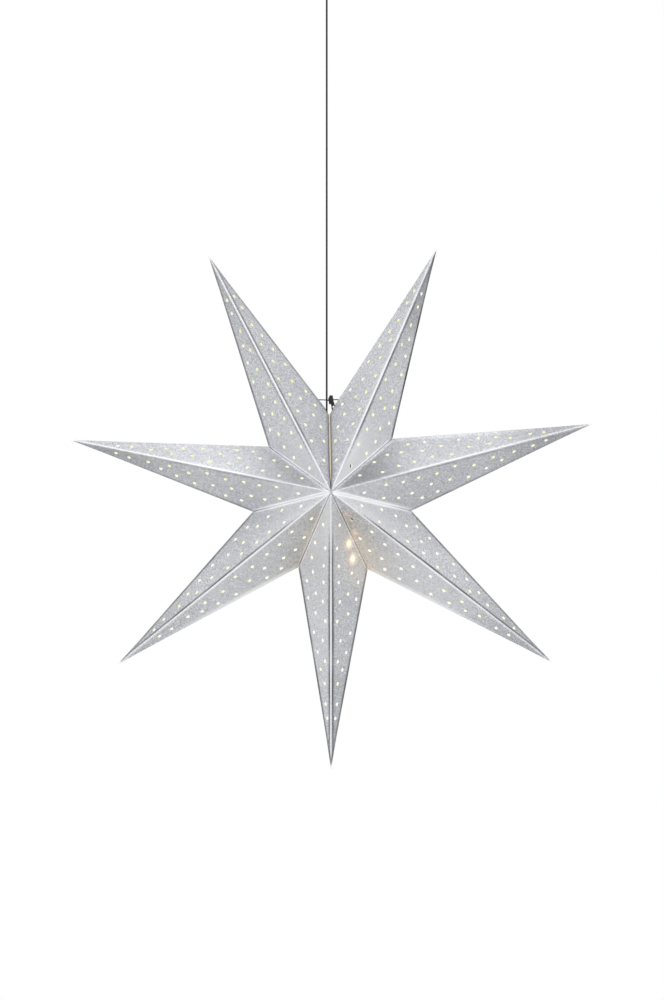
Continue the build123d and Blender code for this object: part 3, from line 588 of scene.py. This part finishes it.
RIDGE_ROUND = 3.4  # half width of the rounded strip along a ridge
RIDGE_BEAD = 1.4  # how far the pinched ridge stands out
RIDGE_BEAD_WIDTH = 1.6
VALLEY_ROUND = 3.6
VALLEY_BEAD = 0.8  # how far the folded edges stand out beside a valley
VALLEY_BEAD_BAND = (1.6, 1.0)
VALLEY_GROOVE = 1.1  # how far the fold itself sinks between them
VALLEY_GROOVE_BAND = (0.0, 0.55)
EDGE_ROUND = 2.4
NARROW = 14.0  # creases flatten where a panel is narrower than this
NEAR_HUB = 16.0  # and within this distance of the hub
LONG_WAVE = (0.014, 1.6)  # waves in the paper: how close they lie and how high they are
SHORT_WAVE = (0.05, 0.35)
LONG_SEED = (3.1, 7.7, 5.3)  # so that each point, depth and side has waves of its own
SHORT_SEED = (9.1, 2.0, 0.5)
WAVE_FADE = 18.0  # they fade within this distance of a crease
WOBBLE = (0.03, 0.35)  # unevenness along a ridge: how close it lies and how strong it is
WOBBLE_SEED = (5.7, 3.3)
SLIT_RUN = 30.0  # the open seam widens over this length
SLIT_FIRST = 0.3
SLIT_BACK = 0.15  # share of the slit's width at the back
SLIT_REACH = 3.0
SLIT_SINK_REACH = 1.5
FLAP = 5.0
FLAP_LEAN = 0.1
FLAP_INDEX = 3  # the open seam's flaps have the fourth material
ON_VALLEY = 0.001
WELD = 0.02
PAPER = 0.4
PAPER_SMOOTH = 60  # degrees
# Each pair below is for the panels on the side of the notch before and after a point.
# RIDGE_LINE and EDGE_LINE: how dark the painted shade line beside the ridge and along the outline is,
# or, below 0, how pale its painted highlight is.
# TIP_SHADE, HUB_SHADE and SHADE: how much painted shade the paper has near the tip, near the hub and in all,
# or, below 0, how much painted highlight.
RIDGE_LINE = [(0.9, 0.95), (0.0, 0.95), (0.35, 0.0), (0.8, 0.0), (0.75, 0.5), (0.0, 0.3), (0.85, 0.0)]
EDGE_LINE = [(0.75, 0.7), (-0.9, 0.6), (0.4, -0.3), (0.85, 0.0), (0.5, 0.65), (0.0, 0.4), (0.65, -0.9)]
TIP_SHADE = [(0.1, 0.2), (0.38, 0.3), (0.35, 0.4), (0.5, 0.2), (0.25, 0.22), (0.18, 0.38), (0.28, 0.2)]
HUB_SHADE = [
    (-0.6, -0.25), (0.2, -0.45), (-0.25, 0.6), (-0.95, 0.1), (0.1, -0.45), (0.4, -0.35), (-0.4, 0.05),
]
SHADE = [(-0.2, 0.0), (-0.25, 0.0), (0.05, 0.15), (-0.15, 0.07), (0.14, -0.05), (0.0, 0.02), (0.07, -0.12)]
WARM = {(1, -1): 1.0, (6, 0): 1.0, (0, 0): 0.35}  # how much painted warm light from the bulb falls on the panels beside it, by point and side
WARM_REACH = 30.0
WARM_START = (15.0, 50.0)
VALLEY_STRIP = [0.35, 1.0, 0.75, 0.0, 0.6, 0.85, 0.55]  # how strong each valley's painted highlight is
VALLEY_STRIP_WIDTH = 4.0
VALLEY_STRIP_END = (0.25, 55.0)  # its share at the outline, and the distance over which it gains 1
VALLEY_FOLD = (0.45, 0.2)  # how dark the painted shade in the fold is, and how much less where the valley's painted highlight is strong
VALLEY_FOLD_BAND = (0.0, 0.9)
VALLEY_SIDE = (0.4, 0.3)  # the same for the painted shade line beside the valley
VALLEY_SIDE_BAND = (3.4, 0.8)
RIDGE_STRIP_WIDTH = (1.7, 2.6)  # of the painted highlight strip on a ridge's side with more painted shade and on its other side
RIDGE_LINE_BAND = (4.1, 2.0)
RIDGE_LINE_START = (0.08, 0.25)
STRIP_LESS = (0.35, 40.0)  # a ridge's painted highlight strips are this much narrower at the hub, less so over this length
SEAM_LINE = 0.6  # how dark the painted shade on the open seam's edges is
SEAM_LINE_BAND = (2.0, 1.8)
SEAM_SHADE = (0.32, 10.0)  # how dark the painted shade on the paper beside the seam is, and how far
# Painted shade line along the outline, or painted highlight where EDGE_LINE is below 0
EDGE_LINE_BAND = (3.9, 1.7)
EDGE_PALE_BAND = (4.0, 4.5)
EDGE_PALE_END = (0.95, 0.55)
TIP_PART = (0.45, 0.9)
HUB_PART = (0.42, 0.12)
# Painted highlight near each tip
TIP_PALE = 0.3
TIP_PALE_RUN = (30.0, 4.0)


def rounded(d, width):
    """How far a crease of the given half width lies off the sharp fold, at a distance from the fold."""
    return (width - d) ** 2 / (2 * width) if d < width else 0.0


def bead(d, width):
    """Height share of a bead along a crease, at a distance from the crease."""
    return 1 / (1 + (d / width) ** 4)


def band(d, middle, width):
    """A soft band at a distance from a crease."""
    return math.exp(-(((d - middle) / width) ** 2))


def step(x, low, high):
    """A smooth step from 0 at low to 1 at high."""
    t = min(1.0, max(0.0, (x - low) / (high - low)))
    return t * t * (3 - 2 * t)


def plateau(d, width, fall):
    """A band from 0 to the given width, then a soft fall."""
    return 1.0 if d < width else band(d, width, fall)


class Panel:
    """One panel of a star point, between the ridge to its tip, the outline and the valley to a notch.

    On the flat panel the hub is at (0, 0) and the tip at (ridge, 0).
    """

    def __init__(self, k, depth, side):
        self.k, self.depth, self.side = k, depth, side
        self.open_seam = k + side == SEAM
        top, tip, notch = hub_top(depth), tip_place(k), notch_place(k + side)
        self.top, self.normal = top, panel_normal(top, tip, notch)
        beside = panel_normal(top, tip, notch_place(k - 1 - side))
        behind = panel_normal(hub_top(-depth), tip, notch)
        beyond = panel_normal(top, tip_place((k + 2 * side + 1) % POINTS), notch)
        self.ridge_out = (self.normal + beside).normalized()
        self.edge_out = (self.normal + behind).normalized()
        self.valley_out = (self.normal + beyond).normalized()
        down = (notch - top).normalized()
        across = (tip - notch) - down * (tip - notch).dot(down)
        self.across = (across - self.valley_out * across.dot(self.valley_out)).normalized()
        self.along = (tip - top).normalized()
        foot = self.along.dot(notch - top)
        away = (notch - top) - self.along * foot
        self.away = away.normalized()
        self.ridge, self.width = (tip - top).length, away.length
        self.corner = Vector((foot, self.width))
        inward = -(self.away * (self.ridge - foot) + self.along * self.width).normalized()
        aside = (self.away * foot - self.along * self.width).normalized()
        self.ridge_slope = -self.away.dot(self.ridge_out)
        self.edge_slope = -inward.dot(self.edge_out)
        self.valley_slope = abs(aside.dot(self.valley_out))

    def distances(self, v):
        """How far a flat point lies from the ridge, the outline and the valley."""
        hub, tip = Vector((0, 0)), Vector((self.ridge, 0))
        return abs(v.y), from_line(v, tip, self.corner), from_line(v, self.corner, hub)

    def wobble(self, along):
        """Unevenness of the ridge at a distance from the hub, around 1."""
        own = (self.k * WOBBLE_SEED[0], self.depth * WOBBLE_SEED[1])
        return 1.0 + WOBBLE[1] * noise.noise(Vector((along * WOBBLE[0], *own)))

    def waved(self, v, near):
        """Place of a flat point on the wavy paper, before the creases are shaped."""
        p = self.top + self.along * v.x + self.away * v.y
        own = Vector((self.k * LONG_SEED[0], self.depth * LONG_SEED[1], self.side * LONG_SEED[2]))
        wave = noise.noise(p * LONG_WAVE[0] + own) * LONG_WAVE[1]
        own = Vector((self.k * SHORT_SEED[0], SHORT_SEED[1], SHORT_SEED[2]))
        wave += noise.noise(p * SHORT_WAVE[0] + own) * SHORT_WAVE[1]
        return p + self.normal * (wave * min(1.0, min(near) / WAVE_FADE))

    def beside_seam(self, p, from_hub, to_valley):
        """A place beside the open seam, and how far the seam draws it aside."""
        opened = min(1.0, (from_hub - SLIT_START) / SLIT_RUN + SLIT_FIRST)
        opening = SLIT / 2 * opened * (1.0 if self.depth < 0 else SLIT_BACK)
        p += self.across * (opening * math.exp(-to_valley / SLIT_REACH))
        p -= self.valley_out * (opened * math.exp(-to_valley / SLIT_SINK_REACH))
        return p, opening

    def beside_valley(self, p, from_hub, to_valley):
        """A place beside a glued valley, with its rounding, its folded edges and its groove."""
        small = min(1.0, from_hub / NEAR_HUB)
        p += self.valley_out * (rounded(to_valley, VALLEY_ROUND) * self.valley_slope * small)
        p += self.valley_out * (VALLEY_BEAD * small * band(to_valley, *VALLEY_BEAD_BAND))
        p -= self.valley_out * (VALLEY_GROOVE * small * band(to_valley, *VALLEY_GROOVE_BAND))
        return p

    def folded(self, v, near):
        """Place of a flat point on the folded paper, and how far the open seam draws it aside."""
        to_ridge, to_edge, to_valley = near
        p = self.waved(v, near)
        room = max(0.0, (self.ridge - v.x) / (self.ridge - self.corner.x) * self.width)
        edge_small = min(1.0, room / NARROW)
        small = edge_small * min(1.0, v.x / NEAR_HUB)
        p -= self.ridge_out * (rounded(to_ridge, RIDGE_ROUND) * self.ridge_slope * small)
        p += self.ridge_out * (RIDGE_BEAD * self.wobble(v.x) * bead(to_ridge, RIDGE_BEAD_WIDTH) * small)
        p -= self.edge_out * (rounded(to_edge, EDGE_ROUND) * self.edge_slope * edge_small)
        if self.open_seam and v.length > SLIT_START:
            return self.beside_seam(p, v.length, to_valley)
        return self.beside_valley(p, v.length, to_valley), 0.0


def painted_light_and_shade(panel, along, near):
    """How much painted highlight (above 0) or painted shade (below 0) the paper gets at a place. Above 1 it
    shines a little.
    """
    to_ridge, to_edge, to_valley = near
    k, half = panel.k, panel.side + 1
    line, edge = RIDGE_LINE[k][half], EDGE_LINE[k][half]
    wobble = panel.wobble(along)
    share = along / panel.ridge
    strip = 1.0 - STRIP_LESS[0] * math.exp(-along / STRIP_LESS[1])
    # Painted highlight on the ridge, and a painted shade line beside it
    pale = bead(to_ridge / strip, RIDGE_STRIP_WIDTH[0 if line > RIDGE_LINE[k][1 - half] else 1])
    dark = line * band(to_ridge, RIDGE_LINE_BAND[0] * strip, RIDGE_LINE_BAND[1])
    dark = dark * wobble * step(share, *RIDGE_LINE_START)
    # Painted shade along the open seam; painted highlight and painted shade along a glued valley
    if panel.open_seam:
        dark = max(dark, SEAM_LINE * plateau(to_valley, *SEAM_LINE_BAND))
        dark = max(dark, SEAM_SHADE[0] * math.exp(-to_valley / SEAM_SHADE[1]))
    else:
        valley = VALLEY_STRIP[k + panel.side]
        end = min(1.0, VALLEY_STRIP_END[0] + to_edge / VALLEY_STRIP_END[1])
        pale = max(pale, valley * (1.0 + valley) * bead(to_valley, VALLEY_STRIP_WIDTH) * end)
        dark = max(dark, (VALLEY_FOLD[0] - VALLEY_FOLD[1] * valley) * band(to_valley, *VALLEY_FOLD_BAND))
        dark = max(dark, (VALLEY_SIDE[0] - VALLEY_SIDE[1] * valley) * band(to_valley, *VALLEY_SIDE_BAND))
    if edge > 0:
        dark = max(dark, edge * plateau(to_edge, *EDGE_LINE_BAND) * wobble)
    else:
        pale = max(pale, -edge * plateau(to_edge, *EDGE_PALE_BAND) * step(share, *EDGE_PALE_END))
    # Painted shade over each panel, near its tip and near its hub; below 0, painted highlight
    for amount in (
        SHADE[k][half],
        TIP_SHADE[k][half] * step(share, *TIP_PART),
        HUB_SHADE[k][half] * step(share, *HUB_PART),
    ):
        dark = max(dark, amount)
        pale = max(pale, -amount)
    # Painted highlight near the tip
    pale = max(pale, TIP_PALE * step(panel.ridge - along, *TIP_PALE_RUN))
    return pale - dark * (1.0 + pale)


def warmth(panel, from_hub, to_valley):
    """How much painted warm light from the bulb tints the paper at a place."""
    near_valley = math.exp(-to_valley / WARM_REACH)
    return WARM.get((panel.k, panel.side), 0.0) * near_valley * step(from_hub, *WARM_START)


def add_face(bm, corners, outward):
    """A new face that looks in a direction."""
    face = bm.faces.new(corners)
    face.normal_update()
    if face.normal.dot(outward) < 0:
        face.normal_flip()
    return face


def add_panel(bm, panel):
    """Adds a panel's paper. Returns its points along the valley, with their places before the seam opened."""
    tone = bm.verts.layers.float["tone"]
    warm = bm.verts.layers.float["warm"]
    verts, faces = flat_panel(panel.ridge, panel.corner)
    made, valley = [], []
    for v in verts:
        near = panel.distances(v)
        to_valley = near[2]
        p, opening = panel.folded(v, near)
        vert = bm.verts.new(p * MM)
        vert[tone] = painted_light_and_shade(panel, v.x, near)
        vert[warm] = warmth(panel, v.length, to_valley)
        made.append(vert)
        if to_valley < ON_VALLEY:
            valley.append((v.length, vert, p - panel.across * opening))
    for f in faces:
        add_face(bm, [made[i] for i in f], panel.normal)
    valley.sort(key=lambda item: item[0])
    return [(vert, p) for _, vert, p in valley]


def add_flap(bm, panel, valley):
    """Adds the glue flap along a panel's valley."""
    shift = panel.valley_out * FLAP, panel.across * FLAP_LEAN
    inner = [bm.verts.new((p - shift[0] + shift[1]) * MM) for _, p in valley]
    for (a, _), (b, _), c, d in zip(valley, valley[1:], inner[1:], inner):
        face = add_face(bm, (a, b, c, d), -panel.across)
        face.material_index = FLAP_INDEX if panel.open_seam else 0


def sharpen_open_edges(mesh):
    """Keeps the open edges sharp, so that the shading doesn't smudge at the holes."""
    used = np.zeros(len(mesh.edges), int)
    corners = np.empty(len(mesh.loops), int)
    mesh.loops.foreach_get("edge_index", corners)
    np.add.at(used, corners, 1)
    for i in np.flatnonzero(used == 1):
        mesh.edges[i].use_edge_sharp = True


def star_point(k):
    """One point of the star as a folded sheet: four panels and the flaps along its valleys."""
    bm = bmesh.new()
    # tone: painted highlight above 0, painted shade below 0
    bm.verts.layers.float.new("tone")
    bm.verts.layers.float.new("warm")
    for depth in (-1, 1):
        for side in (-1, 0):
            panel = Panel(k, depth, side)
            add_flap(bm, panel, add_panel(bm, panel))
    bmesh.ops.remove_doubles(bm, verts=bm.verts, dist=WELD * MM)
    mesh = finished_mesh(f"point_{k + 1}", bm, PAPER_SMOOTH)
    sharpen_open_edges(mesh)
    looks = [SILVER, INSIDE, PAPER_EDGE, SEAM_FLAP]
    o = made_object(f"point_{k + 1}", mesh, looks, "star", [f"star_point_{k + 1}"])
    thick = o.modifiers.new("paper", "SOLIDIFY")
    thick.thickness = PAPER * MM
    thick.offset = -1
    thick.material_offset = 1
    thick.material_offset_rim = 2


for k in range(POINTS):
    star_point(k)


# Tie: a twisted string with a wound knot, two loops and three tails.
# Places are in millimetres from its middle.
TIE = Vector((HUB.x, 3.6, HUB.z + 133.5))
TIE_RADIUS = 0.75
TIE_STEP = 0.5
TIE_LAY = 3.0  # the string's two plies turn half round each other in this length
TIE_SIDES = 12
TIE_SMOOTH = 60  # degrees
TIE_PLY = (0.86, 0.2)  # least radius share of the string, and how much the plies add
TIE_END = 25.0
TIE_SPAN = [
    (-TIE_END, 0, 0), (-16, 0, 0.4), (-8, 0.1, 0.2), (-3, 0.1, -0.2), (0, 0, 0),
    (4, 0, 0.5), (9, 0, 0.6), (12, 0, -0.4), (15, 0.2, -1.4), (TIE_END, 0, 0),
]
# Coils of the knot, each with its two ends, radius and height
KNOT_COILS = [(-3.2, 2.6, 2.9, -1.2), (-2.0, 2.8, 2.2, -0.4), (-2.4, 1.6, 1.4, -0.6)]
KNOT_TURNS = 3.6
KNOT_STEPS = 48
KNOT_RADIUS = 0.85
KNOT_TALL = 1.35  # height of a coil over its depth
KNOT_FRONT = 0.6
LOOPS = [(-0.7, -0.2), (0.9, 0.3)]  # place and lean
LOOP_RADIUS = 0.95
TAILS = [
    (1.0, [(0.6, 0, 0), (2.2, -3.6, -1.8), (3.6, -4.8, -4.4), (4.4, -5.4, -8.2)]),
    (1.0, [(0.2, 0, -1), (0.2, -4.0, -4.4), (1.2, -5.4, -8.6), (1.8, -5.8, -13.6)]),
    (0.9, [(-0.6, -1.6, -1), (1.4, -3.8, -3.6), (2.6, -4.6, -6.4), (2.4, -4.9, -8.8)]),
]
END_KNOT_TURNS = 2.5
END_KNOT_STEPS = 24
END_KNOT_RADIUS = 1.2


def smooth_line(points, step):
    """Evenly spaced points on a smooth curve through the given ones."""
    ends = [points[0] * 2 - points[1]] + points + [points[-1] * 2 - points[-2]]
    line = []
    for p, a, b, q in zip(ends, ends[1:], ends[2:], ends[3:]):
        count = max(2, int((b - a).length / step))
        square, cube = p * 2 - a * 5 + b * 4 - q, a * 3 - p - b * 3 + q
        for i in range(count):
            t = i / count
            line.append((a * 2 + (b - p) * t + square * t**2 + cube * t**3) / 2)
    return line + [points[-1]]


def strand(bm, places, radius):
    """Adds a two-ply twisted string through places that are given from the tie's middle."""
    line = smooth_line([TIE + Vector(place) for place in places], TIE_STEP)
    up = Vector((0.2, 0.3, 1.0))
    rows, run = [], 0.0
    for i, p in enumerate(line):
        along = (line[min(i + 1, len(line) - 1)] - line[max(i - 1, 0)]).normalized()
        side = up.cross(along)
        side = side.normalized() if side.length > 1e-3 else along.orthogonal().normalized()
        up = along.cross(side).normalized()
        run += (p - line[i - 1]).length if i else 0.0
        ring = []
        for k in range(TIE_SIDES):
            a = 2 * math.pi * k / TIE_SIDES
            r = radius * (TIE_PLY[0] + TIE_PLY[1] * abs(math.cos(a - run / TIE_LAY * math.pi)))
            ring.append(bm.verts.new((p + (side * math.cos(a) + up * math.sin(a)) * r) * MM))
        rows.append(ring)
    skin(bm, rows)


def tie():
    bm = bmesh.new()
    strand(bm, TIE_SPAN, TIE_RADIUS)
    for low, high, radius, height in KNOT_COILS:
        turns = []
        for i in range(KNOT_STEPS):
            a = 2 * math.pi * KNOT_TURNS * i / (KNOT_STEPS - 1)
            x = low + (high - low) * i / (KNOT_STEPS - 1)
            turns.append((x, radius * math.cos(a) - KNOT_FRONT, height + KNOT_TALL * radius * math.sin(a)))
        strand(bm, turns, KNOT_RADIUS)
    for x, lean in LOOPS:
        loop = [
            (x - 0.8, -1.4, 0), (x - 1.1, -1.6, 3.4), (x - 0.7 + lean, -1.5, 5.4),
            (x + 0.5 + lean, -1.3, 5.8), (x + 0.9, -1.2, 4.4), (x + 0.6, -1.4, 0),
        ]
        strand(bm, loop, LOOP_RADIUS)
    for radius, places in TAILS:
        strand(bm, places, radius)
    for end in (-TIE_END, TIE_END):
        ball = []
        for i in range(END_KNOT_STEPS):
            a = 2 * math.pi * END_KNOT_TURNS * i / (END_KNOT_STEPS - 1)
            x = end - END_KNOT_RADIUS + 2 * END_KNOT_RADIUS * i / (END_KNOT_STEPS - 1)
            ball.append((x, END_KNOT_RADIUS * math.cos(a), END_KNOT_RADIUS * math.sin(a)))
        strand(bm, ball, TIE_RADIUS)
    mesh = finished_mesh("tie_piece", bm, TIE_SMOOTH)
    made_object("tie_piece", mesh, [STRING], "star", ["tie"])


tie()

# CAD pieces that show as they are
FINISH = {
    "black_plastic": PLASTIC_BLACK,
    "white_plastic": PLASTIC_WHITE,
    "core_insulation": CORE,
    "steel": STEEL,
    "brass": BRASS,
    "ceramic": CERAMIC,
    "nickel": NICKEL,
    "dark_glass": DARK_GLASS,
    "filament": GLOW,
}
# Pieces near the bulb have a finish of their own: the holder's is black with a painted orange glow from the
# bulb
NODE_FINISH = {
    "bulb_glass": OPAL,
    "bulb_stem": CLEAR,
    "holder_cap": HOLDER_BLACK,
    "holder_skirt": HOLDER_BLACK,
    "holder_nipple": HOLDER_BLACK,
}
for row in frame["record"]["subparts"]:
    o = frame["nodes"][row["node"]]
    m = NODE_FINISH.get(row["node"], FINISH.get(row["material_slot"]))
    if m:
        o.data.materials.clear()
        o.data.materials.append(m)


# Light: a pale room that shows white behind the star, a large soft lamp in front and one above,
# and a floor well below the star
ROOM_TONES = [(0.0, (0.3, 0.302, 0.308)), (1.0, WHITE)]  # from straight below to straight above
FLOOR_Z = -6.8  # low enough for views of the star from below
FLOOR_HALF = 5.6
FLOOR_CORNERS = ((-1, -1), (1, -1), (1, 1), (-1, 1))


def seen_ray(tree):
    """1 for rays from the camera, also by way of metal or glass."""
    path = tree.nodes.new("ShaderNodeLightPath").outputs
    mirrored = combine(tree, "MAXIMUM", path["Is Glossy Ray"], path["Is Transmission Ray"])
    return combine(tree, "MAXIMUM", path["Is Camera Ray"], mirrored)


def pale_room():
    """A world that lights the star more from above than from below, and shows white to the camera."""
    scene.world = bpy.data.worlds.new("world")
    scene.world.use_nodes = True
    tree = scene.world.node_tree
    tree.nodes.clear()
    link = tree.links.new
    sky = tree.nodes.new("ShaderNodeTexCoord")
    height = tree.nodes.new("ShaderNodeSeparateXYZ")
    link(sky.outputs["Generated"], height.inputs["Vector"])
    share = tree.nodes.new("ShaderNodeMapRange")
    share.inputs["From Min"].default_value = -1
    link(height.outputs["Z"], share.inputs["Value"])
    room = node(tree, "ShaderNodeBackground", Strength=1.0)
    link(ramp(tree, share.outputs["Result"], ROOM_TONES), room.inputs["Color"])
    white = node(tree, "ShaderNodeBackground", Strength=1.0, Color=(*WHITE, 1))
    choose = tree.nodes.new("ShaderNodeMixShader")
    link(seen_ray(tree), choose.inputs["Fac"])
    link(room.outputs["Background"], choose.inputs[1])
    link(white.outputs["Background"], choose.inputs[2])
    out = tree.nodes.new("ShaderNodeOutputWorld")
    link(choose.outputs["Shader"], out.inputs["Surface"])


def area_light(name, place, aim, size, power):
    data = bpy.data.lights.new(name, "AREA")
    data.shape = "DISK"
    data.size = size
    data.energy = power
    o = bpy.data.objects.new(name, data)
    scene.collection.objects.link(o)
    o.location = place
    o.rotation_mode = "QUATERNION"
    o.rotation_quaternion = (aim - place).to_track_quat("-Z", "Y")


pale_room()
middle = HUB * MM
area_light("front", middle + Vector((-0.4, -3.4, 0.5)), middle, size=1.8, power=40)
area_light("top", middle + Vector((0.0, -0.7, 2.2)), middle, size=1.6, power=14)

floor_mesh = bpy.data.meshes.new("floor")
floor_corners = [(x * FLOOR_HALF, y * FLOOR_HALF, FLOOR_Z) for x, y in FLOOR_CORNERS]
floor_mesh.from_pydata(floor_corners, [], [(0, 1, 2, 3)])
floor = bpy.data.objects.new("floor", floor_mesh)
scene.collection.objects.link(floor)
floor_look, tree, shader = material("floor", (0.94, 0.94, 0.94), 0.9, Emission_Color=(0.14, 0.14, 0.14, 1))
tree.links.new(seen_ray(tree), shader.inputs["Emission Strength"])
floor_mesh.materials.append(floor_look)

scene.view_settings.view_transform = "Standard"
